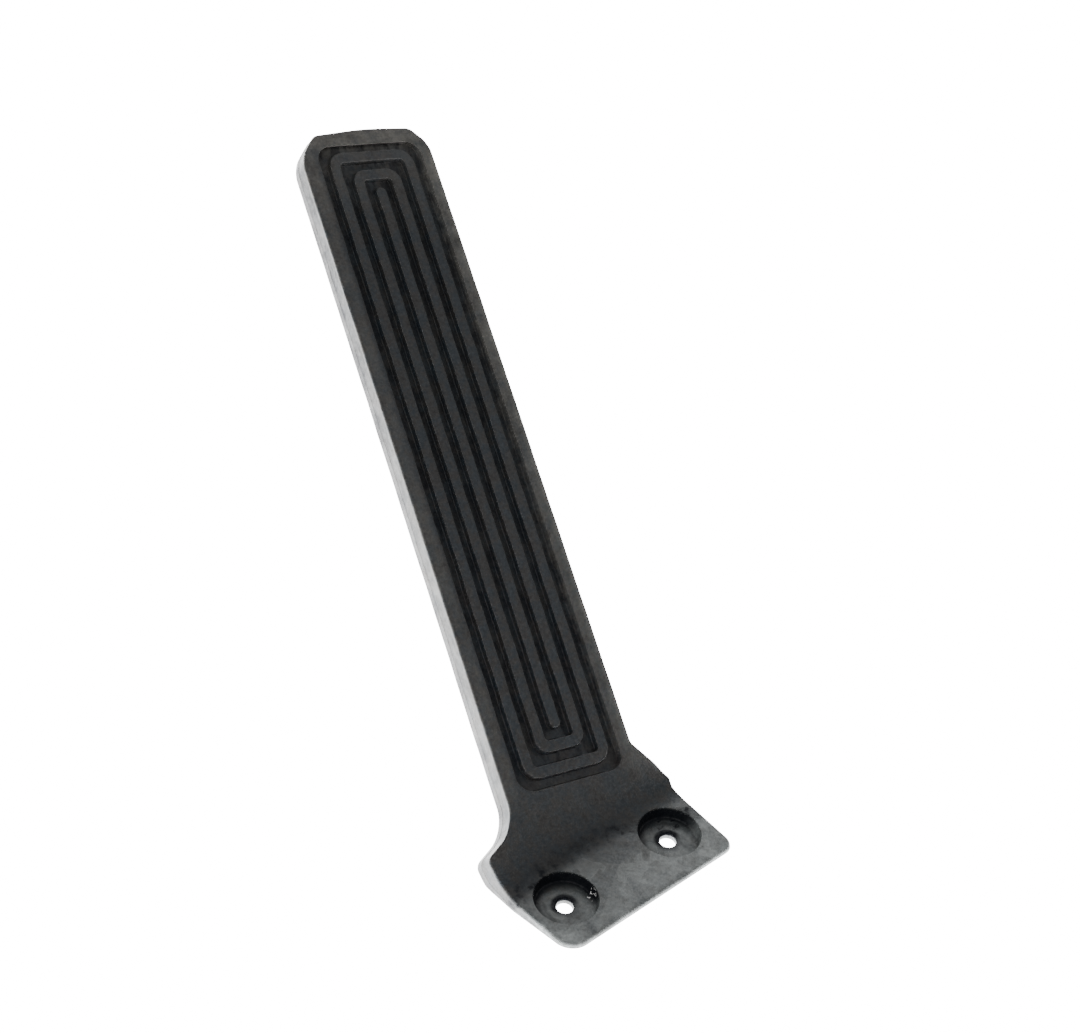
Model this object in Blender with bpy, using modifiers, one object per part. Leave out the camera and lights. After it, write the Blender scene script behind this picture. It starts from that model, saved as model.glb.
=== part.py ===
"""Floor-mounted accelerator pedal, moulded in one piece of black rubber.

The moulding is drawn flat first, as its maker would draw the blank: a foot with two sunk screw holes, a neck
that flares into it, and a long pad that leans to one side. The blank is then bent up along a line just behind
the screws. It is divided into three solids where it works as a hinge: the foot, the web that flexes, the pad.

Frame, in metres: Z = 0 is the foot's flat underside, the origin is midway between the screw holes, X runs
along the screws, the foot's free edge is towards -Y and the pad rises towards +Y and +Z.
"""
import bmesh
import bpy
from math import cos, pi, radians, sin, tan
from mathutils import Matrix, Vector

# The sheet that the whole pedal is moulded as: the foot is thinner than the neck and the pad
FOOT_THICKNESS = 0.0060
PAD_THICKNESS = 0.0086
EDGE_RADIUS = 0.0010
BASE_CHAMFER = 0.0007

# Sunk screw holes: a tapered recess for the head, with a rounded floor, over a through hole
SCREW_SPACING = 0.0436
RECESS_RADIUS = 0.0101
RECESS_FLOOR = 0.0023
RECESS_DRAFT = 0.0006
RECESS_FILLET = 0.0012
HOLE_RADIUS = 0.0030
HOLE_CHAMFER = 0.0010

# The foot around the screws, whose sides are cut away below a lip that gets deeper towards the bend
FRONT_WALL = 0.0061
LEFT_WALL = 0.0033
RIGHT_WALL = 0.0037
LEFT_BULGE = 0.0006
LEFT_BULGE_PLACE = 0.0070
LEFT_BULGE_RADIUS = 0.0300
LEFT_CORNER_INSET = 0.0005
LEFT_CORNER_RADIUS = 0.0070
RIGHT_CORNER_RADIUS = 0.0042
FRONT_LIP = 0.0015
LIP_GROWTH = 0.165
LIP_START = 0.0080

# The bend, the web on both sides of it, and the heel below it
RISE_ANGLE = radians(33.3)
BEND_RADIUS = 0.0200
BEND_CLEARANCE = 0.0029
HEEL_THICKENING = 0.0011
HEEL_LENGTH = 0.0160
WEB_WALL = 0.0009
WEB_LENGTH = 0.0080
JOINT_GAP = 0.0003

# The pad, measured along its own centreline from the bend line
PAD_WIDTH = 0.0500
PAD_LENGTH = 0.24975
PAD_LEAN = radians(13.35)
PAD_OFFSET = 0.0009

# The pad's far end: a slightly arched top between two cut corners, each so far back from the full length
TOP_MIDDLE = 0.0010
TOP_ARCH_RADIUS = 0.1000
TOP_RIGHT_ACROSS = 0.0187
TOP_RIGHT_FALL = 0.00095
TOP_RIGHT_RADIUS = 0.0050
RIGHT_CUT_FALL = 0.0078
RIGHT_CUT_RADIUS = 0.0080
TOP_LEFT_ACROSS = 0.0170
TOP_LEFT_FALL = 0.00135
TOP_LEFT_RADIUS = 0.0045
LEFT_CUT_FALL = 0.0100
LEFT_CUT_RADIUS = 0.0140

# The neck's shoulders
LEFT_SHOULDER = 0.0106
LEFT_SHOULDER_SLOPE = radians(17)
LEFT_SHOULDER_CORNER = 0.0016
LEFT_NECK_RADIUS = 0.0170
RIGHT_SHOULDER = 0.0030
RIGHT_SHOULDER_STEP = 0.0011
RIGHT_FLARE_KNEE = 0.0062
RIGHT_FLARE_INSET = 0.0014
RIGHT_FLARE_RADIUS = 0.0250
RIGHT_NECK_START = 0.0255
RIGHT_NECK_RADIUS = 0.0030

# The tread: grooves cut round a centre bar leave nested rings of rib standing
GROOVE_COUNT = 3
GROOVE_WIDTH = 0.0035
RIB_WIDTH = 0.00355
GROOVE_DEPTH = 0.0020
TOP_RIM = 0.00525
TREAD_START = 0.0183
GROOVE_OUTER_RADII = (0.0055, 0.0018, 0.0015)
GROOVE_INNER_RADII = (0.0056, 0.0045, 0.0017)

# How finely round shapes are divided
CORNER_STEPS = 5
TURN_STEPS = 48
BEND_STEPS = 8
FILLET_STEPS = 4
CUT_MARGIN = 0.0010

# What follows from the sizes above
FOOT_FRONT = RECESS_RADIUS + FRONT_WALL
FOOT_LEFT = SCREW_SPACING / 2 + RECESS_RADIUS + LEFT_WALL
FOOT_RIGHT = SCREW_SPACING / 2 + RECESS_RADIUS + RIGHT_WALL
BEND_LINE = RECESS_RADIUS + BEND_CLEARANCE
BEND_REACH = BEND_RADIUS * tan(RISE_ANGLE / 2)
WEB_START = RECESS_RADIUS + WEB_WALL
WEB_END = WEB_START + WEB_LENGTH
TREAD_HALF_WIDTH = GROOVE_COUNT * GROOVE_WIDTH + (GROOVE_COUNT - 1) * RIB_WIDTH + RIB_WIDTH / 2
FILLET_LEVELS = FILLET_STEPS // 2
LEVEL_STEP = 0.001


def pad_to_blank(across, along):
    """A point given across and along the pad, as a point of the flat blank."""
    return Vector((
        PAD_OFFSET + across * cos(PAD_LEAN) + along * sin(PAD_LEAN),
        BEND_LINE - across * sin(PAD_LEAN) + along * cos(PAD_LEAN),
    ))


def meet(point, direction, other_point, other_direction):
    """Where two lines of the blank cross."""
    gap = other_point - point
    share = gap.cross(other_direction) / direction.cross(other_direction)
    return point + direction * share


def blank_corners():
    """The blank's corners and their radii, counterclockwise from the foot's front left one."""
    pad_up = pad_to_blank(0, 1) - pad_to_blank(0, 0)
    shoulder_corner = Vector((-FOOT_LEFT, BEND_LINE + LEFT_SHOULDER))
    shoulder_line = Vector((cos(LEFT_SHOULDER_SLOPE), sin(LEFT_SHOULDER_SLOPE)))
    left_neck = meet(shoulder_corner, shoulder_line, pad_to_blank(-PAD_WIDTH / 2, 0), pad_up)
    right_shoulder = Vector((FOOT_RIGHT + RIGHT_SHOULDER_STEP, BEND_LINE + RIGHT_SHOULDER))
    right_knee = right_shoulder + Vector((-RIGHT_FLARE_INSET, RIGHT_FLARE_KNEE))
    return [
        (Vector((LEFT_CORNER_INSET - FOOT_LEFT, -FOOT_FRONT)), LEFT_CORNER_RADIUS),
        (Vector((FOOT_RIGHT, -FOOT_FRONT)), RIGHT_CORNER_RADIUS),
        (Vector((FOOT_RIGHT, BEND_LINE)), EDGE_RADIUS),
        (right_shoulder, EDGE_RADIUS),
        (right_knee, RIGHT_FLARE_RADIUS),
        (pad_to_blank(PAD_WIDTH / 2, RIGHT_NECK_START), RIGHT_NECK_RADIUS),
        (pad_to_blank(PAD_WIDTH / 2, PAD_LENGTH - RIGHT_CUT_FALL), RIGHT_CUT_RADIUS),
        (pad_to_blank(TOP_RIGHT_ACROSS, PAD_LENGTH - TOP_RIGHT_FALL), TOP_RIGHT_RADIUS),
        (pad_to_blank(TOP_MIDDLE, PAD_LENGTH), TOP_ARCH_RADIUS),
        (pad_to_blank(-TOP_LEFT_ACROSS, PAD_LENGTH - TOP_LEFT_FALL), TOP_LEFT_RADIUS),
        (pad_to_blank(-PAD_WIDTH / 2, PAD_LENGTH - LEFT_CUT_FALL), LEFT_CUT_RADIUS),
        (left_neck, LEFT_NECK_RADIUS),
        (shoulder_corner, LEFT_SHOULDER_CORNER),
        (Vector((-FOOT_LEFT - LEFT_BULGE, LEFT_BULGE_PLACE)), LEFT_BULGE_RADIUS),
    ]


def rounded(corners):
    """A closed outline with an arc at each corner, and the same number of points in every arc.

    Two arcs that share a side too short for both are made smaller until they fit.
    """
    count = len(corners)
    points = [corner for corner, _ in corners]
    back = [(points[i - 1] - points[i]).normalized() for i in range(count)]
    ahead = [(points[(i + 1) % count] - points[i]).normalized() for i in range(count)]
    half = [back[i].angle(ahead[i]) / 2 for i in range(count)]
    reach = [corners[i][1] / tan(half[i]) for i in range(count)]
    fitted = list(reach)
    for i in range(count):
        after = (i + 1) % count
        share = (points[after] - points[i]).length / max(reach[i] + reach[after], 1e-9)
        if share < 1:
            fitted[i] = min(fitted[i], reach[i] * share * 0.98)
            fitted[after] = min(fitted[after], reach[after] * share * 0.98)
    outline = []
    for i in range(count):
        radius = fitted[i] * tan(half[i])
        middle = points[i] + (back[i] + ahead[i]).normalized() * radius / sin(half[i])
        start = points[i] + back[i] * fitted[i] - middle
        end = points[i] + ahead[i] * fitted[i] - middle
        turn = start.angle_signed(end)
        for step in range(CORNER_STEPS + 1):
            spoke = start.copy()
            spoke.rotate(Matrix.Rotation(-turn * step / CORNER_STEPS, 2))
            outline.append(middle + spoke)
    return outline


def inset(corners, distance_at):
    """The same corners moved inwards, each by its own distance, with radii that stay concentric."""
    count = len(corners)
    moved = []
    for i, (corner, radius) in enumerate(corners):
        before = (corner - corners[i - 1][0]).normalized()
        after = (corners[(i + 1) % count][0] - corner).normalized()
        inwards = Vector((-before.y - after.y, before.x + after.x)).normalized()
        distance = distance_at(corner.y)
        mitre = inwards.dot(Vector((-before.y, before.x)))
        convex = before.cross(after) > 0
        moved_radius = radius - distance if convex else radius + distance
        moved.append((corner + inwards * distance / mitre, max(moved_radius, EDGE_RADIUS / 2)))
    return moved


def along_bend(y):
    """The angle that the face has turned through at a place on the blank, and the length beyond the bend."""
    turned = (y - BEND_LINE + BEND_REACH) / (2 * BEND_REACH)
    return min(max(turned, 0), 1) * RISE_ANGLE, max(y - BEND_LINE - BEND_REACH, 0)


def depth_to(level, y):
    """How deep below the face, square to it, a level plane lies that is so far below the foot's face."""
    angle, beyond = along_bend(y)
    return (level + BEND_RADIUS * (1 - cos(angle)) + beyond * sin(angle)) / cos(angle)


def back_depth(y):
    """The sheet's thickness: level underneath, then square to the neck's back, which thickens to the heel."""
    beyond = along_bend(y)[1]
    neck = PAD_THICKNESS + HEEL_THICKENING * max(0, 1 - beyond / HEEL_LENGTH)
    return min(depth_to(FOOT_THICKNESS, y), neck)


def lip_depth(y):
    """How far the side stands upright below the face before the underside is cut away."""
    lip = FRONT_LIP + LIP_GROWTH * max(0, y + LIP_START)
    return min(depth_to(lip, y), back_depth(y) - BASE_CHAMFER)


def level_depth(level, y):
    """The depth of one of the blank's levels: the rounding of the face's edge, the lip, then the back."""
    depths = [EDGE_RADIUS * (1 - cos(pi / 2 * step / FILLET_LEVELS)) for step in range(FILLET_LEVELS + 1)]
    depths += [lip_depth(y), back_depth(y)]
    above = min(int(level), len(depths) - 2)
    return depths[above] + (depths[above + 1] - depths[above]) * (level - above)


def blank_mesh():
    """The flat blank as rings round its outline, one to a level; a point's height only counts the levels."""
    corners = blank_corners()
    rounding = [EDGE_RADIUS * (1 - sin(pi / 2 * step / FILLET_LEVELS)) for step in range(FILLET_LEVELS + 1)]
    outlines = [rounded(inset(corners, lambda y, distance=distance: distance)) for distance in rounding]
    outlines.append(rounded(corners))
    outlines.append(rounded(inset(corners, lambda y: back_depth(y) - lip_depth(y))))
    mesh = bmesh.new()
    rings = []
    for level, outline in enumerate(outlines):
        rings.append([mesh.verts.new((point.x, point.y, -level * LEVEL_STEP)) for point in outline])
    mesh.faces.new(rings[0])
    mesh.faces.new(reversed(rings[-1]))
    for upper, lower in zip(rings, rings[1:]):
        for i in range(len(upper)):
            mesh.faces.new((upper[i - 1], lower[i - 1], lower[i], upper[i]))
    return mesh


def cut_across(mesh, y, drop=None):
    """Cuts the blank along a line square to its sides, and may drop what is before or after it."""
    everything = mesh.verts[:] + mesh.edges[:] + mesh.faces[:]
    bmesh.ops.bisect_plane(
        mesh, geom=everything, dist=1e-7, plane_co=(0, y, 0), plane_no=(0, 1, 0),
        clear_inner=drop == "before", clear_outer=drop == "after",
    )
    if drop:
        open_edges = [edge for edge in mesh.edges if edge.is_boundary]
        bmesh.ops.holes_fill(mesh, edges=open_edges)


def cut_along_bend(mesh):
    """Divides the blank finely enough to be bent."""
    for step in range(BEND_STEPS + 1):
        cut_across(mesh, BEND_LINE + BEND_REACH * (2 * step / BEND_STEPS - 1))


def bent(place):
    """A point of the blank, given by its place and its depth, once the blank is bent up."""
    angle, beyond = along_bend(place.y)
    before = min(place.y, BEND_LINE - BEND_REACH)
    ring = BEND_RADIUS - place.z
    return Vector((
        place.x,
        before + ring * sin(angle) + beyond * cos(angle),
        FOOT_THICKNESS + BEND_RADIUS - ring * cos(angle) + beyond * sin(angle),
    ))


def with_depths(mesh):
    """Gives every point of the blank its real depth in place of its level."""
    for vertex in mesh.verts:
        vertex.co.z = -level_depth(-vertex.co.z / LEVEL_STEP, vertex.co.y)


def rubber(name, tone, roughness):
    """Black rubber, a little greyer where it is scuffed."""
    material = bpy.data.materials.new(name)
    material.use_nodes = True
    shader = material.node_tree.nodes["Principled BSDF"]
    shader.inputs["Base Color"].default_value = (tone, tone, tone * 0.97, 1)
    shader.inputs["Roughness"].default_value = roughness
    shader.inputs["Metallic"].default_value = 0
    material.diffuse_color = (tone, tone, tone * 0.97, 1)
    return material


def new_object(name, mesh, collection):
    """An object from a bmesh, smooth where it is round."""
    bmesh.ops.recalc_face_normals(mesh, faces=mesh.faces)
    data = bpy.data.meshes.new(name)
    mesh.to_mesh(data)
    mesh.free()
    data.shade_smooth()
    data.set_sharp_from_angle(angle=radians(35))
    item = bpy.data.objects.new(name, data)
    collection.objects.link(item)
    return item


def as_cutter(item):
    """Marks an object as a guide that only cuts."""
    item.hide_render = True
    item.display_type = "WIRE"
    return item


def subtract(item, cutter):
    """Cuts one object from another, live."""
    cut = item.modifiers.new("cut " + cutter.name, "BOOLEAN")
    cut.operation = "DIFFERENCE"
    cut.solver = "EXACT"
    cut.object = cutter


def recess_cutter(name, x, cutters):
    """The turned shape of one sunk screw hole, from above the face down through the underside."""
    floor = RECESS_FLOOR
    floor_radius = RECESS_RADIUS - RECESS_DRAFT
    profile = [
        (0, FOOT_THICKNESS + CUT_MARGIN),
        (RECESS_RADIUS, FOOT_THICKNESS + CUT_MARGIN),
        (RECESS_RADIUS, FOOT_THICKNESS),
    ]
    for step in range(FILLET_STEPS + 1):
        angle = pi / 2 * step / FILLET_STEPS
        profile.append((
            floor_radius - RECESS_FILLET * (1 - cos(angle)),
            floor + RECESS_FILLET * (1 - sin(angle)),
        ))
    profile += [
        (HOLE_RADIUS + HOLE_CHAMFER, floor),
        (HOLE_RADIUS, floor - HOLE_CHAMFER),
        (HOLE_RADIUS, -CUT_MARGIN),
        (0, -CUT_MARGIN),
    ]
    data = bpy.data.meshes.new(name)
    data.from_pydata([(radius, 0, height) for radius, height in profile],
                     [(i, i + 1) for i in range(len(profile) - 1)], [])
    cutter = bpy.data.objects.new(name, data)
    cutter.location.x = x
    cutters.objects.link(cutter)
    turn = cutter.modifiers.new("turn", "SCREW")
    turn.steps = TURN_STEPS
    turn.render_steps = TURN_STEPS
    turn.use_merge_vertices = True
    turn.merge_threshold = 1e-6
    return as_cutter(cutter)


def tread_loop(taken_in, radius):
    """A closed line round the tread, in the pad's own plane, at a distance inside the tread's edge."""
    across = TREAD_HALF_WIDTH - taken_in
    low = TREAD_START + taken_in
    high = PAD_LENGTH - TOP_RIM - taken_in
    corners = [(-across, low), (across, low), (across, high), (-across, high)]
    return rounded([(Vector(corner), radius) for corner in corners])


def groove_cutter(index, pad, cutters):
    """One groove: the band between two loops, as deep as the ribs stand."""
    outer = index * (GROOVE_WIDTH + RIB_WIDTH)
    loops = [
        tread_loop(outer, GROOVE_OUTER_RADII[index]),
        tread_loop(outer + GROOVE_WIDTH, GROOVE_INNER_RADII[index]),
    ]
    name = "groove_cutter_%d" % (index + 1)
    curve = bpy.data.curves.new(name, "CURVE")
    curve.dimensions = "2D"
    curve.fill_mode = "BOTH"
    curve.extrude = (GROOVE_DEPTH + CUT_MARGIN) / 2
    for loop in loops:
        line = curve.splines.new("POLY")
        line.points.add(len(loop) - 1)
        line.use_cyclic_u = True
        for point, place in zip(line.points, loop):
            point.co = (place.x, place.y, 0, 1)
    drawn = bpy.data.objects.new(name, curve)
    cutters.objects.link(drawn)
    bpy.context.view_layer.update()
    data = bpy.data.meshes.new_from_object(drawn.evaluated_get(bpy.context.evaluated_depsgraph_get()))
    bpy.data.objects.remove(drawn)
    welded = bmesh.new()
    welded.from_mesh(data)
    bmesh.ops.remove_doubles(welded, verts=welded.verts, dist=1e-6)
    bmesh.ops.recalc_face_normals(welded, faces=welded.faces)
    welded.to_mesh(data)
    welded.free()
    cutter = bpy.data.objects.new(name, data)
    cutter.parent = pad
    cutter.location.z = (CUT_MARGIN - GROOVE_DEPTH) / 2
    cutters.objects.link(cutter)
    return as_cutter(cutter)


def mounting_foot(parts, cutters):
    """The flat foot, up to the web, with its two sunk screw holes."""
    mesh = blank_mesh()
    cut_across(mesh, WEB_START - JOINT_GAP / 2, drop="after")
    cut_along_bend(mesh)
    with_depths(mesh)
    for vertex in mesh.verts:
        vertex.co = bent(vertex.co)
    foot = new_object("mounting_foot", mesh, parts)
    foot.data.materials.append(rubber("foot_rubber", 0.085, 0.62))
    for side, name in ((-1, "left_recess_cutter"), (1, "right_recess_cutter")):
        subtract(foot, recess_cutter(name, side * SCREW_SPACING / 2, cutters))
    return foot


def flex_web(parts):
    """The web that bends when the pedal is pressed, as wide and thick as the moulding is there."""
    mesh = blank_mesh()
    cut_across(mesh, WEB_START + JOINT_GAP / 2, drop="before")
    cut_across(mesh, WEB_END - JOINT_GAP / 2, drop="after")
    cut_along_bend(mesh)
    with_depths(mesh)
    for vertex in mesh.verts:
        vertex.co = bent(vertex.co)
    web = new_object("flex_web", mesh, parts)
    web.data.materials.append(rubber("web_rubber", 0.055, 0.66))
    return web


def tread_pad(parts, cutters, hinge):
    """The neck and the long ribbed pad, drawn in the pad's own plane and carried by the hinge."""
    mesh = blank_mesh()
    cut_across(mesh, WEB_END + JOINT_GAP / 2, drop="before")
    cut_across(mesh, BEND_LINE + BEND_REACH + HEEL_LENGTH)
    with_depths(mesh)
    to_pad = Matrix.Rotation(PAD_LEAN, 4, "Z") @ Matrix.Translation((-PAD_OFFSET, -BEND_LINE, 0))
    bmesh.ops.transform(mesh, matrix=to_pad, verts=mesh.verts)
    pad = new_object("tread_pad", mesh, parts)
    pad.data.materials.append(rubber("tread_rubber", 0.042, 0.7))
    pad.parent = hinge
    pad.location = Vector((PAD_OFFSET, BEND_LINE, FOOT_THICKNESS)) - hinge.location
    tilt = Matrix.Rotation(RISE_ANGLE, 3, "X") @ Matrix.Rotation(-PAD_LEAN, 3, "Z")
    pad.rotation_euler = tilt.to_euler()
    for index in range(GROOVE_COUNT):
        subtract(pad, groove_cutter(index, pad, cutters))
    return pad


def main():
    """Clears the scene and models the pedal."""
    for item in list(bpy.data.objects):
        bpy.data.objects.remove(item)
    parts = bpy.data.collections.new("accelerator_pedal")
    cutters = bpy.data.collections.new("cutters")
    for collection in (parts, cutters):
        bpy.context.scene.collection.children.link(collection)
    hinge = bpy.data.objects.new("hinge_axis", None)
    web_middle = (WEB_START + WEB_END) / 2
    hinge.location = bent(Vector((0, web_middle, -back_depth(web_middle) / 2)))
    parts.objects.link(hinge)
    mounting_foot(parts, cutters)
    flex_web(parts)
    tread_pad(parts, cutters, hinge)
    bpy.context.view_layer.update()
    print("hinge axis at", [round(value, 5) for value in hinge.location])


main()
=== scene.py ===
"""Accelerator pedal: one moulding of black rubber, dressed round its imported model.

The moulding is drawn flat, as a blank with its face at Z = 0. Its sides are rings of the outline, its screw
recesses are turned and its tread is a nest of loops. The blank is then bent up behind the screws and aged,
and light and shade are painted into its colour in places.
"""
import bmesh
import bpy
from math import cos, pi, radians, sin, tan
from mathutils import Matrix, Vector, noise

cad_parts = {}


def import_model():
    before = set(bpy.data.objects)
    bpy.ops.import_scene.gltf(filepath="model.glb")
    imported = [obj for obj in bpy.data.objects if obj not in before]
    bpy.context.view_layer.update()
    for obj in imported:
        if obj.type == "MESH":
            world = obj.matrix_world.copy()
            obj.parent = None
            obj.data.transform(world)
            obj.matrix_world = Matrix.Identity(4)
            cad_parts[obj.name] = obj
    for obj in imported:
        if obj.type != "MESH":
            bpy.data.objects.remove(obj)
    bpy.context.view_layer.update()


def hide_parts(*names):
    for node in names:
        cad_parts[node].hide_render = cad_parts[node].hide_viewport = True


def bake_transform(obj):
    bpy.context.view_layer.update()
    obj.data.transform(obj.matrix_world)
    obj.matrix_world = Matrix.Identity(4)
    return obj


# The photograph's camera, fitted to the pedal's outline
CAMERA_PLACE = (-0.32379, -0.26122, 0.47854)
CAMERA_RIGHT = (0.74744, -0.6571, 0.09776)
CAMERA_DOWN = (-0.36414, -0.52831, -0.767)
CAMERA_AHEAD = (0.55565, 0.53768, -0.63416)
CAMERA_LENS = 67.46

# The sheet: the foot is thinner than the neck and the pad
FOOT_THICKNESS = 0.0060
PAD_THICKNESS = 0.0086
BASE_CHAMFER = 0.0007

# Sunk screw holes
SCREW_SPACING = 0.0436
RECESS_RADIUS = 0.0101
RECESS_FLOOR = 0.0023
RECESS_DRAFT = 0.0006
RECESS_FILLET = 0.0007
RIM_ROUNDING = 0.00012
HOLE_RADIUS = 0.0026
HOLE_ROUNDING = 0.0008

# The foot
FRONT_WALL = 0.0061
LEFT_WALL = 0.0033
RIGHT_WALL = 0.0037
LEFT_BULGE = 0.0006
LEFT_BULGE_PLACE = 0.0070
LEFT_BULGE_RADIUS = 0.0300
LEFT_CORNER_INSET = 0.0005
LEFT_CORNER_RADIUS = 0.0070
RIGHT_CORNER_RADIUS = 0.0044
FRONT_LIP = 0.0015
LIP_GROWTH = 0.165
LIP_START = 0.0080
UNDERCUT = 0.0040

# The mould's parting line, as a share of the lip's depth and as its height, and how soft the lip's edge is
PARTING_SHARE = 0.6
PARTING_RIDGE = 0.00020
LIP_SOFTNESS = 0.00030

# The bend and the heel
RISE_ANGLE = radians(33.3)
BEND_RADIUS = 0.0200
BEND_CLEARANCE = 0.0029
HEEL_THICKENING = 0.0011
HEEL_LENGTH = 0.0160

# The pad
PAD_WIDTH = 0.0500
PAD_LENGTH = 0.24975
PAD_LEAN = radians(13.35)
PAD_OFFSET = 0.0009

# The pad's far end, as points across the pad and back from its full length, with their radii
TOP_CORNERS = (
    (0.0250, 0.0074, 0.0080),
    (0.0190, 0.00080, 0.0045),
    (0.0010, 0, 0.1000),
    (-0.0178, 0.00150, 0.0035),
    (-0.0250, 0.0096, 0.0120),
)

# The neck's shoulders
LEFT_SHOULDER = 0.0106
LEFT_SHOULDER_SLOPE = radians(17)
LEFT_SHOULDER_CORNER = 0.0030
LEFT_NECK_RADIUS = 0.0170
RIGHT_SHOULDER = 0.0030
RIGHT_SHOULDER_STEP = 0.0011
RIGHT_STEP_RADIUS = 0.0012
RIGHT_FLARE_KNEE = 0.0062
RIGHT_FLARE_INSET = 0.0014
RIGHT_FLARE_RADIUS = 0.0250
RIGHT_NECK_START = 0.0255
RIGHT_NECK_RADIUS = 0.0030

# The tread
GROOVE_COUNT = 3
GROOVE_WIDTH = 0.0035
RIB_WIDTH = 0.00355
GROOVE_DEPTH = 0.0020
TOP_RIM = 0.00525
TREAD_START = 0.0183
TREAD_DRIFT = 0.0022
LEAST_RADIUS = 0.0003
GROOVE_OUTER_RADII = (0.0055, 0.0018, 0.0015)
GROOVE_INNER_RADII = (0.0056, 0.0045, 0.0017)
RIB_ROUNDING = 0.00020
GROOVE_DRAFT = 0.00030
GROOVE_FILLET = 0.00030
RIM_SLOPE = 0.00040
TOP_SLOPE = 0.00090

# How the face falls away to its edge: the width of a gentle crown, of a rounding and of the wall's lean
CROWN_RADIUS = 0.0090
FOOT_EDGE = (0.0010, 0.0011, 0.0001)
FOOT_RIGHT_EDGE = (0.0018, 0.0010, 0.0001)
PAD_EDGE = (0.0018, 0.0010, 0.0001)
PAD_LEFT_EDGE = (0.0006, 0.0007, 0.0001)
PAD_TOP_EDGE = (0.0005, 0.0004, 0.0001)
STEP_EDGE = (0.0002, 0.0004, 0.0001)

# Over what length the foot's edge turns into the pad's, and how far the right step's edge reaches
EDGE_CHANGE = 0.012
STEP_REACH = 0.0025

# How far the edges and the ribs wander, as in an old mould, and in how many waves to the metre
EDGE_WANDER = 0.00018
EDGE_WAVES = (90, 260)
RIB_WANDER = 0.00016
RIB_WAVES = (150, 420)
WANDER_SEED = 5

# What follows from the sizes above
FOOT_FRONT = RECESS_RADIUS + FRONT_WALL
FOOT_LEFT = SCREW_SPACING / 2 + RECESS_RADIUS + LEFT_WALL
FOOT_RIGHT = SCREW_SPACING / 2 + RECESS_RADIUS + RIGHT_WALL
BEND_LINE = RECESS_RADIUS + BEND_CLEARANCE
BEND_REACH = BEND_RADIUS * tan(RISE_ANGLE / 2)
BEND_START = BEND_LINE - BEND_REACH
BEND_END = BEND_LINE + BEND_REACH
TREAD_HALF_WIDTH = GROOVE_COUNT * GROOVE_WIDTH + (GROOVE_COUNT - 1) * RIB_WIDTH + RIB_WIDTH / 2
PAD_CUT_START = TREAD_START * 0.6

# Where the dust lies, as where each patch starts and where it is full: along X and Y on the foot, across and
# along the pad on the pad. Towards the foot's front this is also painted light, fading towards the bend; on
# the right rim's outer edge it is a painted highlight; and the pad is painted lighter towards its upper end
FOOT_DUST_AND_LIGHT_GROWTH = (0.018, -0.016)
FOOT_RIGHT_CORNER = (0.018, 0.033)
FOOT_LEFT_CORNER = (-0.020, -0.033)
FOOT_ENDS = (0.014, 0.004)
NECK_BEGINS = (0.015, 0.026)
NECK_ENDS = (0.028, 0.018)
PAD_BEGINS = (0.012, 0.030)
RIGHT_RIM = (0.0180, 0.0205)
RIGHT_EDGE = (0.0215, 0.0250)
RIGHT_RIM_GROWTH = (0.03, 0.2)
LEFT_RIM = (-0.0190, -0.0215)
UPPER_RIM = (0.2405, 0.2450)
UPPER_PAD = (0.205, 0.243)

# Where the rubber is darkened: painted shade and dark specks along a bowed line in the crease, and darker
# mottled patches on the groove floors and on the side walls
CREASE_PLACE = (-0.010, 0.0123)
CREASE_REACH = 0.026
CREASE_BOW = 0.0037
CREASE_WIDTH = (0.0045, 0.0006)
SPECKS_WIDTH = (0.0060, 0.0015)
BELOW_FACE = (-0.0007, -0.0014)
TREAD_ENDS = (0.0205, 0.0195)
STREAK_STRETCH = 0.4
WALL_BEGINS = (0.0238, 0.0246)
WALL_DARKENING_GROWTH = (0.09, 0.18)

# Painted shade in the screw recesses: in their corners, on their far side and at the hole, and a painted
# glint of white spots
RECESS_RIM = (0.0104, 0.0101)
SUNK = (-0.0001, -0.0006)
RECESS_CORNER = (0.0062, 0.0092)
FAR_SIDE = (-0.0065, 0.0035)
INNER_WALL = (-0.0150, -0.0128)
LEFT_HALF = (0.0, -0.005)
HOLE_ENTRY = (0.0050, 0.0036)
ABOVE_HOLE = (-0.0047, -0.0043)
ENTRY_GROWTH = (-0.0032, 0.0015)
GLINT_PLACE = (-0.0127, -0.0024, -0.0026)
GLINT_REACH = (0.0024, 0.0018)

# The rubber's colours. The dust colours also paint light on the foot's front and a highlight on the right
# rim's edge, the smudge black also paints shade in the crease and the recesses, and the white paints a glint
COOL_BLACK = (0.0075, 0.0120, 0.0165, 1)
WARM_BLACK = (0.0155, 0.0142, 0.0130, 1)
RUBBED_BLACK = (0.036, 0.037, 0.037, 1)
SHADE_AND_SMUDGE_BLACK = (0.0055, 0.0065, 0.0095, 1)
RIM_DUST_AND_LIGHT = (0.126, 0.121, 0.108, 1)
FOOT_DUST_AND_LIGHT = (0.390, 0.418, 0.415, 1)
GLINT_WHITE = (0.9, 0.9, 0.88, 1)

# How strongly each kind of dirt and of painted light and shade shows, and how rough and shiny the rubber is
RUB_STRENGTH = 0.7
DUST_AND_LIGHT_STRENGTH = 0.45
SHADE_AND_SMUDGE_STRENGTH = 0.55
RECESS_SHADE_STRENGTH = 1.8
ROUGHNESS = (0.50, 0.60)
DUST_AND_LIGHT_ROUGHNESS = 0.05
SHEEN = (0.40, 0.60)
SHADE_AND_SMUDGE_DULLING = 0.18
GRAIN_STRENGTH = 0.8
GRAIN_HEIGHT = 0.00006
PIT_SPACING = 0.0040

# Light: how bright the backdrop looks, and how much of it lights the rubber from above
FLOOR_GLOW = 16
FLOOR_DIM = 1.0
FLOOR_RIGHT_GLOW = 3.5
SKY_LIGHT = 0.12
FLOOR_SIZE = 6
FLOOR_DROP = 0.0005

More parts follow.
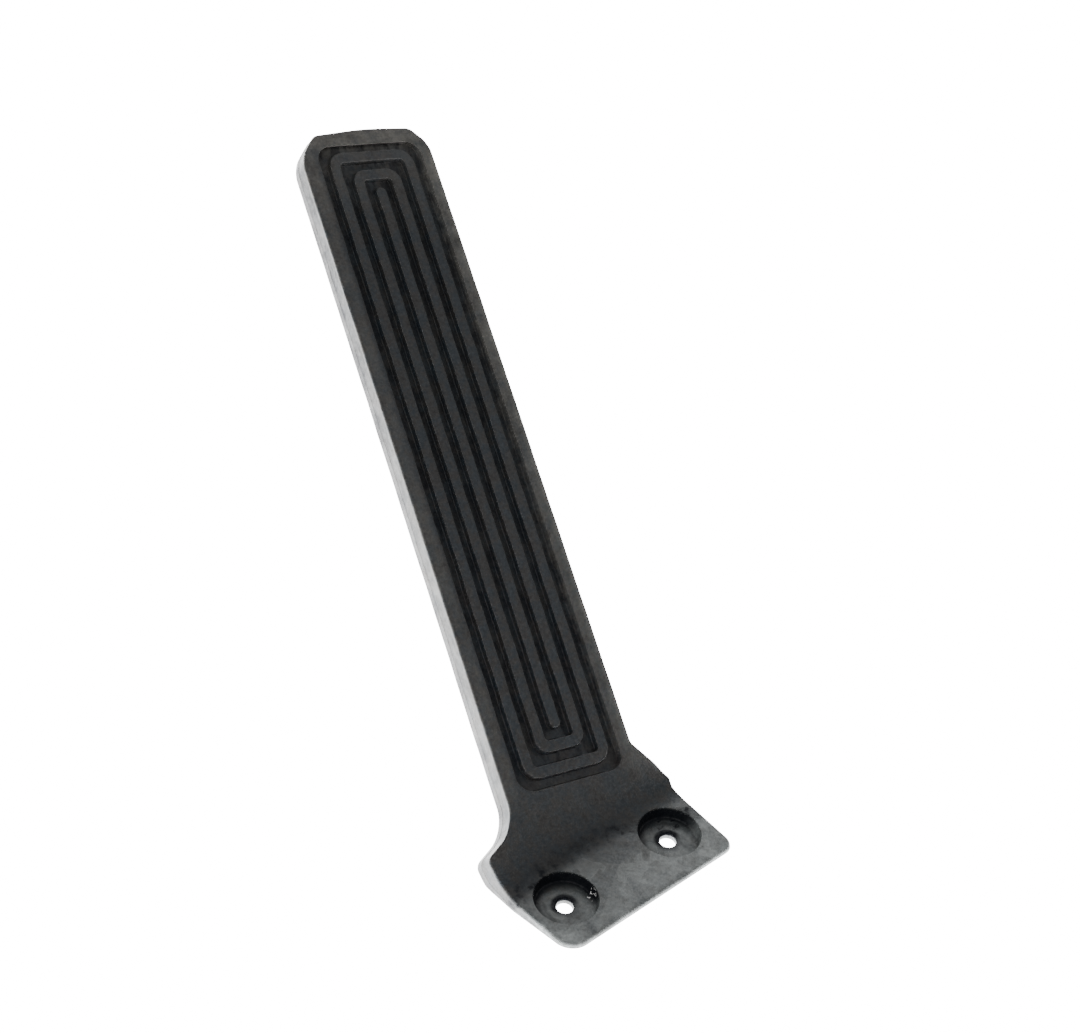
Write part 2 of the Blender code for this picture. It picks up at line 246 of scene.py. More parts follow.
# Where the floor glows, as where each patch starts and where it is full: left and right of the pad's line on
# the floor, and in front of the foot
PAD_LINE_SLOPE = 0.284
LEFT_GLOW_BEGINS = (-0.12, -0.03)
LEFT_GLOW_ENDS = (0.02, -0.03)
FRONT_GLOW_BEGINS = (-0.06, -0.03)
FRONT_GLOW_ENDS = (0.03, 0.0)
FRONT_GLOW_FADES = (0.16, 0.05)
RIGHT_GLOW_BEGINS = (0.04, 0.09)

# Soft lights: the direction that each shines from, half the angle that it fills, in degrees, and its glow
LAMP_DISTANCE = 2.0
LAMPS = (
    ("back_light", (0.559, 0.540, 0.629), 8, 15),
    ("low_back_light", (0.708, 0.684, 0.174), 8, 20),
    ("high_light", (0.56, -0.36, 0.74), 15, 1.0),
    ("right_light", (0.84, -0.39, 0.37), 12, 3.6),
    ("left_light", (-0.683, -0.183, 0.707), 14, 8.6),
)

# How finely round shapes are divided
CORNER_STEPS = 8
ROUND_STEPS = 4
TURN_STEPS = 72
BEND_CUT = 0.0006
PAD_CUT = 0.0030

# The share of a side that a corner's rounding may take, how close points lie that touch or that are merged,
# and from what angle an edge looks sharp
LARGEST_CORNER = 0.49
TOUCHING = 1e-7
MERGE_DISTANCE = 1e-6
SHARP_ANGLE = radians(40)


def on_blank(across, along):
    """A point given across and along the pad from the bend line, as a point of the blank."""
    return Vector((
        PAD_OFFSET + across * cos(PAD_LEAN) + along * sin(PAD_LEAN),
        BEND_LINE - across * sin(PAD_LEAN) + along * cos(PAD_LEAN),
        0,
    ))


def pad_up():
    """The direction up the pad, on the blank."""
    return on_blank(0, 1) - on_blank(0, 0)


def clamp(value):
    """The value, kept between 0 and 1."""
    return min(max(value, 0), 1)


def along_bend(y):
    """How far the face has turned at a place along the blank, and the length beyond the bend."""
    turned = (y - BEND_START) / (BEND_END - BEND_START)
    return clamp(turned) * RISE_ANGLE, max(y - BEND_END, 0)


def depth_to(level, y):
    """How deep below the face a level plane lies that is so far below the foot's face."""
    angle, beyond = along_bend(y)
    return (level + BEND_RADIUS * (1 - cos(angle)) + beyond * sin(angle)) / cos(angle)


def back_depth(y):
    """The sheet's thickness: level underneath until that meets the back of the neck."""
    beyond = along_bend(y)[1]
    neck = PAD_THICKNESS + HEEL_THICKENING * max(0, 1 - beyond / HEEL_LENGTH)
    return min(depth_to(FOOT_THICKNESS, y), neck)


def lip_depth(y):
    """How far the side stands upright below the face."""
    lip = FRONT_LIP + LIP_GROWTH * max(0, y + LIP_START)
    return min(depth_to(lip, y), back_depth(y) - BASE_CHAMFER)


def quarter(steps):
    """The sine and one minus the cosine of a quarter turn, step by step."""
    return [(sin(pi / 2 * i / steps), 1 - cos(pi / 2 * i / steps)) for i in range(steps + 1)]


def mix(a, b, share):
    """A blend of two tuples."""
    return tuple(first + (second - first) * share for first, second in zip(a, b))


def edge_style(place, outwards):
    """How wide the crown, the rounding and the wall's lean are at a place on the outline."""
    across = outwards.x * cos(PAD_LEAN) - outwards.y * sin(PAD_LEAN)
    along = outwards.x * sin(PAD_LEAN) + outwards.y * cos(PAD_LEAN)
    pad = mix(PAD_EDGE, PAD_LEFT_EDGE, clamp(-across * 1.6))
    pad = mix(pad, PAD_TOP_EDGE, clamp(along * 2 - 0.8))
    foot = mix(FOOT_EDGE, FOOT_RIGHT_EDGE, clamp(outwards.x))
    share = clamp((place.y - BEND_LINE) / EDGE_CHANGE)
    style = mix(foot, pad, share * share * (3 - 2 * share))
    from_step = abs(place.y - BEND_LINE - RIGHT_SHOULDER / 2) if place.x > 0 else 1
    return mix(style, STEP_EDGE, clamp(2.2 - from_step / STEP_REACH))


def side_section(y, style):
    """The sheet's side at a place along it, as (inwards, depth) from the face down to the underside."""
    crown, rounding, lean = style
    lip = lip_depth(y)
    back = back_depth(y)
    tilt = crown / CROWN_RADIUS
    section = []
    for i in range(ROUND_STEPS):
        turn = tilt * i / ROUND_STEPS
        inwards = lean + rounding + crown - CROWN_RADIUS * sin(turn)
        section.append((inwards, CROWN_RADIUS * (1 - cos(turn))))
    drop = CROWN_RADIUS * (1 - cos(tilt))
    for s, c in quarter(ROUND_STEPS):
        share = max(s, sin(tilt) * (1 - s) + s)
        section.append((lean + rounding * (1 - share), drop + rounding * c))
    wall = drop + rounding
    parting = wall + (lip - wall) * PARTING_SHARE
    ridge = min(PARTING_RIDGE, (lip - wall) * 0.2)
    for down, out in ((parting - ridge, 0), (parting, ridge * 0.5), (parting + ridge, 0)):
        section.append((lean * (lip - down) / (lip - wall) - out, down))
    soft = min(LIP_SOFTNESS, (back - lip) * 0.4, (lip - wall) * 0.3)
    section += [(0, lip - soft), (soft * 0.35, lip), (soft * 1.2, lip + soft * 0.9)]
    section.append((min(back - lip, UNDERCUT), back))
    return section


RING_COUNT = len(side_section(0, FOOT_EDGE))


def outline(mesh):
    """The blank's outline as one flat face, each corner rounded to its own radius."""
    shoulder = Vector((-FOOT_LEFT, BEND_LINE + LEFT_SHOULDER, 0))
    right_step = Vector((FOOT_RIGHT + RIGHT_SHOULDER_STEP, BEND_LINE + RIGHT_SHOULDER, 0))
    left_foot = on_blank(-PAD_WIDTH / 2, 0)
    up = pad_up()
    slope = Vector((cos(LEFT_SHOULDER_SLOPE), sin(LEFT_SHOULDER_SLOPE), 0))
    reach = (left_foot - shoulder).cross(up).z / slope.cross(up).z
    corners = [
        (Vector((LEFT_CORNER_INSET - FOOT_LEFT, -FOOT_FRONT, 0)), LEFT_CORNER_RADIUS),
        (Vector((FOOT_RIGHT, -FOOT_FRONT, 0)), RIGHT_CORNER_RADIUS),
        (Vector((FOOT_RIGHT, BEND_LINE, 0)), RIGHT_STEP_RADIUS),
        (right_step, RIGHT_STEP_RADIUS),
        (right_step + Vector((-RIGHT_FLARE_INSET, RIGHT_FLARE_KNEE, 0)), RIGHT_FLARE_RADIUS),
        (on_blank(PAD_WIDTH / 2, RIGHT_NECK_START), RIGHT_NECK_RADIUS),
    ]
    corners += [(on_blank(across, PAD_LENGTH - fall), radius) for across, fall, radius in TOP_CORNERS]
    corners += [
        (shoulder + slope * reach, LEFT_NECK_RADIUS),
        (shoulder, LEFT_SHOULDER_CORNER),
        (Vector((-FOOT_LEFT - LEFT_BULGE, LEFT_BULGE_PLACE, 0)), LEFT_BULGE_RADIUS),
    ]
    points = [mesh.verts.new(place) for place, _ in corners]
    mesh.faces.new(points)
    places = [place for place, _ in corners]
    for i, (place, radius) in enumerate(corners):
        before = places[i - 1] - place
        after = places[(i + 1) % len(places)] - place
        tangent = radius / tan(before.angle(after) / 2)
        tangent = min(tangent, before.length * LARGEST_CORNER, after.length * LARGEST_CORNER)
        bmesh.ops.bevel(
            mesh, geom=[points[i]], offset=tangent, offset_type="OFFSET", affect="VERTICES",
            segments=CORNER_STEPS, profile=0.5, material=-1,
        )
    mesh.faces.ensure_lookup_table()
    return mesh.faces[0]


def next_ring(mesh, edges):
    """Extrudes a ring of edges, and returns the new ring."""
    grown = bmesh.ops.extrude_edge_only(mesh, edges=edges)["geom"]
    new = set(grown)
    return [item for item in grown if isinstance(item, bmesh.types.BMEdge) and new.issuperset(item.verts)]


def sides(mesh, layers):
    """Draws the outline down its side in rings. Returns the edges of the first ring and of the last."""
    face = outline(mesh)
    index = mesh.verts.layers.int.new("index")
    loop = list(face.verts)
    places = [vertex.co.copy() for vertex in loop]
    inwards = []
    styles = []
    for i, vertex in enumerate(loop):
        vertex[index] = i
        before = (places[i] - places[i - 1]).normalized()
        after = (places[(i + 1) % len(places)] - places[i]).normalized()
        normal = Vector((-before.y - after.y, before.x + after.x, 0)).normalized()
        styles.append(edge_style(places[i], -normal))
        inwards.append(normal / max(normal.dot(Vector((-after.y, after.x, 0))), 0.5))
    edges = list(face.edges)
    bmesh.ops.delete(mesh, geom=[face], context="FACES_ONLY")
    first = edges
    for ring in range(RING_COUNT):
        if ring:
            edges = next_ring(mesh, edges)
        for vertex in {vertex for edge in edges for vertex in edge.verts}:
            place = places[vertex[index]]
            style = styles[vertex[index]]
            inward, depth = side_section(place.y, style)[ring]
            vertex.co = place + inwards[vertex[index]] * inward
            vertex.co.z = -depth
            vertex[layers["ring"]] = ring + 1
            vertex[layers["style"]] = style
            vertex[layers["inward"]] = inwards[vertex[index]]
    return first, edges


def recess(mesh, x, layers):
    """Turns one screw recess and its hole. Returns the edges of its rims, on the face and underneath."""
    depth = FOOT_THICKNESS - RECESS_FLOOR
    wall = RECESS_RADIUS - RECESS_DRAFT
    profile = [(RECESS_RADIUS + RIM_ROUNDING * (1 - s), RIM_ROUNDING * c) for s, c in quarter(ROUND_STEPS)]
    profile += [(wall - RECESS_FILLET * c, depth - RECESS_FILLET * (1 - s)) for s, c in quarter(ROUND_STEPS)]
    profile += [
        (HOLE_RADIUS + HOLE_ROUNDING * (1 - s), depth + HOLE_ROUNDING * c) for s, c in quarter(ROUND_STEPS)
    ]
    profile += [(HOLE_RADIUS, FOOT_THICKNESS - RIM_ROUNDING), (HOLE_RADIUS + RIM_ROUNDING, FOOT_THICKNESS)]
    line = [mesh.verts.new((x + radius, 0, -down)) for radius, down in profile]
    edges = [mesh.edges.new(pair) for pair in zip(line, line[1:])]
    before = set(mesh.verts)
    bmesh.ops.spin(
        mesh, geom=line + edges, cent=(x, 0, 0), axis=(0, 0, 1), angle=2 * pi, steps=TURN_STEPS,
        use_merge=True,
    )
    turned = (set(mesh.verts) - before) | set(line)
    for vertex in turned:
        vertex[layers["sunk"]] = min(-vertex.co.z / depth, 1)
    rim = {vertex for vertex in turned if vertex.co.z > -TOUCHING}
    base = {vertex for vertex in turned if vertex.co.z < TOUCHING - FOOT_THICKNESS}
    for vertex in base:
        vertex[layers["ring"]] = RING_COUNT
        vertex[layers["style"]] = FOOT_EDGE
    return [[edge for edge in mesh.edges if circle.issuperset(edge.verts)] for circle in (rim, base)]


def tread_loop(inset, radius, rim=0.0):
    """The points of a rounded rectangle in the tread. Its rim slopes at the right and the top."""
    across = TREAD_HALF_WIDTH - inset
    low = TREAD_START + inset
    high = PAD_LENGTH - TOP_RIM - inset - TOP_SLOPE * rim
    points = []
    for turn, (side, end) in enumerate(((across, low), (across, high), (-across, high), (-across, low))):
        middle = (side - radius if side > 0 else side + radius, end + radius if end == low else end - radius)
        for step in range(CORNER_STEPS + 1):
            angle = pi / 2 * (turn - 1 + step / CORNER_STEPS)
            along = middle[1] + radius * sin(angle)
            drift = TREAD_DRIFT * (along - TREAD_START) + (RIM_SLOPE * rim if side > 0 else 0)
            points.append(on_blank(middle[0] + radius * cos(angle) + drift, along))
    return points


def tread(mesh, layers):
    """The grooves and ribs as loops, from the rim inwards. Returns the rim's edges and the bar's."""
    section = []
    arc = quarter(ROUND_STEPS)
    top = RIB_ROUNDING
    fillet = GROOVE_FILLET
    low = GROOVE_DEPTH - fillet
    foot = GROOVE_DRAFT + fillet
    for groove in range(GROOVE_COUNT):
        outer = groove * (GROOVE_WIDTH + RIB_WIDTH)
        inner = outer + GROOVE_WIDTH
        radius = GROOVE_OUTER_RADII[groove]
        rim = 0 if groove else 1
        section += [(outer, top * (s - 1), top * c, radius, rim) for s, c in arc]
        section += [(outer, foot - fillet * (1 - c), low + fillet * s, radius, 0) for s, c in arc]
        radius = GROOVE_INNER_RADII[groove]
        section += [(inner, fillet * (1 - c) - foot, low + fillet * s, radius, 0) for s, c in reversed(arc)]
        section += [(inner, top * (1 - s), top * c, radius, 0) for s, c in reversed(arc)]
    index = mesh.verts.layers.int["index"]
    start = [mesh.verts.new(place) for place in tread_loop(0, GROOVE_OUTER_RADII[0])]
    for i, vertex in enumerate(start):
        vertex[index] = i
    edges = [mesh.edges.new((start[i - 1], start[i])) for i in range(len(start))]
    first = edges
    for ring, (wall, aside, depth, radius, rim) in enumerate(section):
        if ring:
            edges = next_ring(mesh, edges)
        places = tread_loop(wall + aside, max(radius - aside, LEAST_RADIUS), rim)
        for vertex in {vertex for edge in edges for vertex in edge.verts}:
            vertex.co = places[vertex[index]]
            vertex.co.z = -depth
            vertex[layers["worn"]] = 1 if 0 < depth < top * 0.9 else 0
    return first, edges


def cut(mesh, place, normal):
    """Cuts the whole blank along an upright plane."""
    everything = mesh.verts[:] + mesh.edges[:] + mesh.faces[:]
    bmesh.ops.bisect_plane(mesh, geom=everything, dist=TOUCHING, plane_co=place, plane_no=normal)


def bent(place):
    """A point of the blank, once the blank is bent up along the bend line."""
    angle, beyond = along_bend(place.y)
    before = min(place.y, BEND_START)
    ring = BEND_RADIUS - place.z
    return Vector((
        place.x,
        before + ring * sin(angle) + beyond * cos(angle),
        FOOT_THICKNESS + BEND_RADIUS - ring * cos(angle) + beyond * sin(angle),
    ))


def set_depth(vertex, layers):
    """Puts a point of a side ring back on its section, which cuts leave a little off."""
    ring = vertex[layers["ring"]]
    if ring:
        depths = [0] + [depth for _, depth in side_section(vertex.co.y, vertex[layers["style"]])]
        above = min(int(ring), RING_COUNT - 1)
        vertex.co.z = -(depths[above] + (depths[above + 1] - depths[above]) * (ring - above))


def wander(vertex, layers):
    """Moves a point of the edges or the tread a little aside."""
    place = vertex.co.copy()
    if vertex[layers["ring"]]:
        coarse, fine = EDGE_WAVES
        inwards = noise.noise(place * coarse) + 0.6 * noise.noise(place * fine)
        vertex.co += vertex[layers["inward"]] * (EDGE_WANDER * clamp(0.5 + 0.5 * inwards))
    elif not vertex[layers["sunk"]]:
        coarse, fine = RIB_WAVES
        aside = noise.noise_vector(place * coarse) + 0.5 * noise.noise_vector(place * fine)
        vertex.co += Vector((aside.x, aside.y, 0)) * RIB_WANDER


def moulding():
    """The whole pedal as one closed mesh."""
    noise.seed_set(WANDER_SEED)
    mesh = bmesh.new()
    kept = mesh.verts.layers
    layers = {
        "ring": kept.float.new("ring"),
        "sunk": kept.float.new("sunk"),
        "worn": kept.float.new("worn"),
        "style": kept.float_vector.new("style"),
        "inward": kept.float_vector.new("inward"),
        "flat_place": kept.float_vector.new("flat_place"),
    }
    face_edges, base_edges = sides(mesh, layers)
    for x in (-SCREW_SPACING / 2, SCREW_SPACING / 2):
        rim, base = recess(mesh, x, layers)
        face_edges = face_edges + rim
        base_edges = base_edges + base
    tread_edge, bar_edges = tread(mesh, layers)
    for edges in (face_edges + tread_edge, bar_edges, base_edges):
        bmesh.ops.triangle_fill(mesh, use_beauty=True, use_dissolve=False, edges=edges)
    steps = int((BEND_END - BEND_START) / BEND_CUT) + 1
    for step in range(steps + 1):
        cut(mesh, (0, BEND_START + (BEND_END - BEND_START) * step / steps, 0), (0, 1, 0))
    for step in range(1, int(PAD_LENGTH / PAD_CUT) + 1):
        along = PAD_CUT_START + step * PAD_CUT
        if along < PAD_LENGTH:
            cut(mesh, on_blank(0, along), pad_up())
    for vertex in mesh.verts:
        set_depth(vertex, layers)
        vertex[layers["flat_place"]] = vertex.co
        wander(vertex, layers)
        straight = 0 if vertex[layers["ring"]] else min(vertex[layers["sunk"]] * 2, 1)
        vertex.co = bent(vertex.co).lerp(vertex.co + Vector((0, 0, FOOT_THICKNESS)), straight)
    bmesh.ops.remove_doubles(mesh, verts=mesh.verts, dist=MERGE_DISTANCE)
    bmesh.ops.recalc_face_normals(mesh, faces=mesh.faces)
    data = bpy.data.meshes.new("rubber_moulding")
    mesh.to_mesh(data)
    mesh.free()
    data.shade_smooth()
    data.set_sharp_from_angle(angle=SHARP_ANGLE)
    pedal = bpy.data.objects.new("rubber_moulding", data)
    bpy.context.scene.collection.objects.link(pedal)
    weighted = pedal.modifiers.new("flat faces stay flat", "WEIGHTED_NORMAL")
    weighted.keep_sharp = True
    return pedal


class Nodes:
    """Adds nodes to a tree and joins them, a value or a socket to each input."""

    def __init__(self, tree):
        self.tree = tree

    def give(self, socket, value):
        """Links a socket to an input, or sets the input to a value."""
        if isinstance(value, bpy.types.NodeSocket):
            self.tree.links.new(value, socket)
        else:
            socket.default_value = value

    def add(self, kind, inputs=None, **settings):
        """A new node with its inputs and its settings."""
        node = self.tree.nodes.new(kind)
        for key, value in settings.items():
            setattr(node, key, value)
        for key, value in (inputs or {}).items():
            self.give(node.inputs[key], value)
        return node

    def math(self, operation, *values):
        """One operation on numbers."""
        return self.add("ShaderNodeMath", dict(enumerate(values)), operation=operation).outputs[0]

    def chain(self, operation, values):
        """The values joined one after the other by an operation."""
        total = values[0]
        for value in values[1:]:
            total = self.math(operation, total, value)
        return total

    def plus(self, *values):
        """The values added up."""
        return self.chain("ADD", values)

    def times(self, *values):
        """The values multiplied."""
        return self.chain("MULTIPLY", values)

    def most(self, *values):
        """The largest of the values."""
        return self.chain("MAXIMUM", values)

    def ramp(self, value, low, high, start=0.0, end=1.0):
        """A smooth change from start to end while the value goes from low to high."""
        inputs = {"Value": value, "From Min": low, "From Max": high, "To Min": start, "To Max": end}
        return self.add("ShaderNodeMapRange", inputs, interpolation_type="SMOOTHSTEP").outputs["Result"]

    def noise(self, place, size, detail=3.0, roughness=0.55):
        """Cloudy noise whose patches are about a size across."""
        inputs = {"Vector": place, "Scale": 1 / size, "Detail": detail, "Roughness": roughness}
        return self.add("ShaderNodeTexNoise", inputs).outputs["Fac"]

    def blend(self, factor, first, second):
        """A blend of two colours."""
        node = self.add("ShaderNodeMix", data_type="RGBA")
        for index, value in ((0, factor), (6, first), (7, second)):
            self.give(node.inputs[index], value)
        return node.outputs[2]


def new_group(name, inputs, outputs):
    """An empty shader group with its sockets, and its helper, input node and output node."""
    tree = bpy.data.node_groups.new(name, "ShaderNodeTree")
    for socket, kind in inputs:
        tree.interface.new_socket(socket, in_out="INPUT", socket_type=kind)
    for socket, kind in outputs:
        tree.interface.new_socket(socket, in_out="OUTPUT", socket_type=kind)
    nodes = Nodes(tree)
    return tree, nodes, nodes.add("NodeGroupInput"), nodes.add("NodeGroupOutput")


def pad_frame():
    """Where a point of the blank lies across and along the pad."""
    tree, nodes, given, result = new_group(
        "pad frame",
        [("Place", "NodeSocketVector")],
        [("Across", "NodeSocketFloat"), ("Along", "NodeSocketFloat")],
    )
    inputs = {0: given.outputs["Place"], 1: (PAD_OFFSET, BEND_LINE, 0)}
    from_bend = nodes.add("ShaderNodeVectorMath", inputs, operation="SUBTRACT").outputs[0]
    directions = {
        "Across": (cos(PAD_LEAN), -sin(PAD_LEAN), 0),
        "Along": (sin(PAD_LEAN), cos(PAD_LEAN), 0),
    }
    for name, axis in directions.items():
        turned = nodes.add("ShaderNodeVectorMath", {0: from_bend, 1: axis}, operation="DOT_PRODUCT")
        tree.links.new(turned.outputs["Value"], result.inputs[name])
    return tree


def dust_and_painted_light(nodes, spot):
    """Dirt on the foot's front and corners, on the pad's rims and on the neck, and the pad lighter towards
    its upper end. Towards the foot's front this is also painted light, which fades towards the bend, and on
    the right rim's outer edge a painted highlight.
    """
    place, across, along = spot["place"], spot["across"], spot["along"]
    right = nodes.ramp(across, *RIGHT_RIM, 0.0, 0.5)
    # The right rim's outer edge is painted lighter: a painted highlight of the light from the right.
    right = nodes.plus(right, nodes.ramp(across, *RIGHT_EDGE, 0.0, 0.45))
    right = nodes.times(right, nodes.ramp(along, *RIGHT_RIM_GROWTH, 1.0, 1.5))
    left = nodes.ramp(across, *LEFT_RIM, 0.0, 0.40)
    top = nodes.ramp(along, *UPPER_RIM, 0.0, 0.8)
    rims = nodes.times(nodes.most(right, left, top), spot["on_pad"])
    # The pad is painted lighter towards its upper end.
    upper = nodes.ramp(along, *UPPER_PAD, 0.0, 0.36)
    neck = nodes.times(nodes.ramp(spot["y"], *NECK_BEGINS), nodes.ramp(along, *NECK_ENDS, 0.0, 0.16))
    corners = nodes.ramp(spot["x"], *FOOT_RIGHT_CORNER, 0.8, 1.1)
    corners = nodes.most(corners, nodes.ramp(spot["x"], *FOOT_LEFT_CORNER, 0.8, 1.15))
    # The foot is painted lighter towards its front: dust, and painted light that fades towards the bend.
    front = nodes.times(nodes.ramp(spot["y"], *FOOT_DUST_AND_LIGHT_GROWTH), corners)
    wear_and_light = nodes.plus(nodes.most(front, rims), upper, neck)
    uneven = nodes.plus(
        nodes.ramp(nodes.noise(place, 0.016, 4.0, 0.6), 0.3, 0.7, 0.55, 1.2),
        nodes.ramp(spot["patches"], 0.3, 0.7, -0.25, 0.3),
        nodes.ramp(nodes.noise(place, 0.0011, 2.0, 0.6), 0.2, 0.8, -0.25, 0.25),
    )
    splash = nodes.noise(place, 0.010, 2.0, 0.5)
    from_edge = nodes.math("ABSOLUTE", nodes.math("SUBTRACT", splash, 0.56))
    tide = nodes.plus(nodes.ramp(splash, 0.55, 0.57, 0.0, 0.16), nodes.ramp(from_edge, 0.012, 0.0, 0.0, 0.20))
    return nodes.plus(nodes.times(wear_and_light, uneven), nodes.times(tide, spot["on_foot"]))


def smudges_and_shade(nodes, spot):
    """Painted shade along the crease before the bend, with dark specks; darker mottled patches on groove
    floors and side walls, the walls more so towards the pad's upper end; and a few dark smears.
    """
    place, across, along = spot["place"], spot["across"], spot["along"]
    # Painted shade along a bowed line in the crease before the bend, with dark specks.
    middle, start = CREASE_PLACE
    aside = nodes.times(nodes.math("SUBTRACT", spot["x"], middle), 1 / CREASE_REACH)
    line = nodes.math("MULTIPLY_ADD", nodes.times(aside, aside), -CREASE_BOW, start)
    away = nodes.math("ABSOLUTE", nodes.math("SUBTRACT", spot["y"], line))
    crease = nodes.times(nodes.ramp(away, *CREASE_WIDTH), nodes.ramp(spot["patches"], 0.35, 0.62, 0.35, 1.0))
    specks = nodes.ramp(nodes.noise(place, 0.0026, 4.0, 0.7), 0.50, 0.66)
    specks = nodes.times(nodes.ramp(away, *SPECKS_WIDTH), specks)
    crease = nodes.plus(crease, nodes.times(specks, 1.4))
    smears = nodes.ramp(nodes.noise(place, 0.007, 4.0, 0.65), 0.56, 0.70, 0.0, 0.5)
    deep = nodes.ramp(spot["z"], *BELOW_FACE)
    from_middle = nodes.math("ABSOLUTE", across)
    stretched = {0: across, 1: nodes.times(along, STREAK_STRETCH), 2: spot["z"]}
    streaks = nodes.add("ShaderNodeCombineXYZ", stretched).outputs[0]
    mottle = nodes.ramp(nodes.noise(streaks, 0.0028, 3.0, 0.6), 0.40, 0.62, -0.15, 1.1)
    # Groove floors darker, in mottled streaks.
    groove = nodes.times(deep, nodes.ramp(from_middle, *TREAD_ENDS), spot["on_pad"], mottle)
    # Side walls darker in mottled patches, more so towards the pad's upper end.
    wall_darkening = nodes.ramp(nodes.noise(streaks, 0.0035, 3.0, 0.65), 0.40, 0.66, 0.0, 0.8)
    wall_darkening = nodes.plus(wall_darkening, nodes.ramp(along, *WALL_DARKENING_GROWTH, 0.0, 0.75))
    wall = nodes.times(deep, nodes.ramp(from_middle, *WALL_BEGINS), wall_darkening)
    return nodes.most(crease, smears, groove, wall)


def recess_shade_and_glint(nodes, spot):
    """Painted shade in the corners, on the far side and at the hole entries of the screw recesses, and a
    painted glint of white spots on a wall of the left one.
    """
    beside = nodes.math("SUBTRACT", nodes.math("ABSOLUTE", spot["x"]), SCREW_SPACING / 2)
    reach = nodes.math("SQRT", nodes.plus(nodes.times(beside, beside), nodes.times(spot["y"], spot["y"])))
    # Painted shade on the recesses' far side, the left recess's inner wall, the corners and the hole entries.
    inner_wall = nodes.times(nodes.ramp(spot["x"], *INNER_WALL), nodes.ramp(spot["x"], *LEFT_HALF))
    shaded = nodes.most(nodes.ramp(spot["y"], *FAR_SIDE), inner_wall)
    corner = nodes.times(nodes.ramp(reach, *RECESS_CORNER), shaded)
    entry = nodes.times(nodes.ramp(reach, *HOLE_ENTRY, 0.0, 1.2), nodes.ramp(spot["z"], *ABOVE_HOLE))
    entry = nodes.times(entry, nodes.ramp(spot["y"], *ENTRY_GROWTH, 0.3, 1.0))
    inside = nodes.times(nodes.ramp(reach, *RECESS_RIM), nodes.ramp(spot["z"], *SUNK))
    # A painted glint: white spots on the left recess's inner wall.
    to_glint = nodes.add("ShaderNodeVectorMath", {0: spot["place"], 1: GLINT_PLACE}, operation="DISTANCE")
    glint_spots = nodes.ramp(nodes.noise(spot["place"], 0.0009, 1.0, 0.5), 0.60, 0.65)
    glint_spots = nodes.times(nodes.ramp(to_glint.outputs["Value"], *GLINT_REACH), glint_spots)
    return {"Recess_shade": nodes.times(inside, nodes.most(corner, entry)), "Glint": nodes.times(glint_spots, inside)}


def grime_and_painted_light():
    """How the rubber is dirtied, scuffed and tinted, and where light and shade are painted on it, from its
    place on the blank.
    """
    tree, nodes, given, result = new_group(
        "grime_and_painted_light",
        [("Place", "NodeSocketVector"), ("Across", "NodeSocketFloat"), ("Along", "NodeSocketFloat")],
        [(name, "NodeSocketFloat") for name in ("Dust_and_light", "Smudge_and_shade", "Tint", "Foot", "Recess_shade", "Glint")],
    )
    place = given.outputs["Place"]
    axes = nodes.add("ShaderNodeSeparateXYZ", {0: place}).outputs
    spot = {
        "place": place,
        "across": given.outputs["Across"],
        "along": given.outputs["Along"],
        "x": axes["X"],
        "y": axes["Y"],
        "z": axes["Z"],
        "patches": nodes.noise(place, 0.005, 5.0, 0.62),
        "on_foot": nodes.ramp(axes["Y"], *FOOT_ENDS),
        "on_pad": nodes.ramp(given.outputs["Along"], *PAD_BEGINS),
    }
    masks = {
        "Dust_and_light": dust_and_painted_light(nodes, spot),
        "Smudge_and_shade": smudges_and_shade(nodes, spot),
        "Tint": nodes.ramp(nodes.noise(place, 0.007, 5.0, 0.8), 0.40, 0.60),
        "Foot": spot["on_foot"],
    }
    masks.update(recess_shade_and_glint(nodes, spot))
    for name, mask in masks.items():
        tree.links.new(mask, result.inputs[name])
    return tree


def grain():
    """The moulded rubber's skin: a fine grain, soft pebbling and a few pits."""
    tree, nodes, given, result = new_group(
        "grain",
        [("Place", "NodeSocketVector"), ("Strength", "NodeSocketFloat")],
        [("Normal", "NodeSocketVector")],
    )
    place = given.outputs["Place"]
    cells = nodes.add("ShaderNodeTexVoronoi", {"Vector": place, "Scale": 1 / PIT_SPACING}).outputs["Distance"]
    height = nodes.plus(
        nodes.times(nodes.noise(place, 0.0035, 2.0, 0.5), 3.2),
        nodes.noise(place, 0.0008, 3.0, 0.6),
        nodes.times(nodes.noise(place, 0.00022, 2.0, 0.6), 0.35),
        nodes.times(nodes.ramp(cells, 0.02, 0.09, -1.0, 0.0), 0.9),
    )
    bump = nodes.add(
        "ShaderNodeBump", {"Height": height, "Strength": given.outputs["Strength"], "Distance": GRAIN_HEIGHT},
    )
    tree.links.new(bump.outputs["Normal"], result.inputs["Normal"])
    return tree


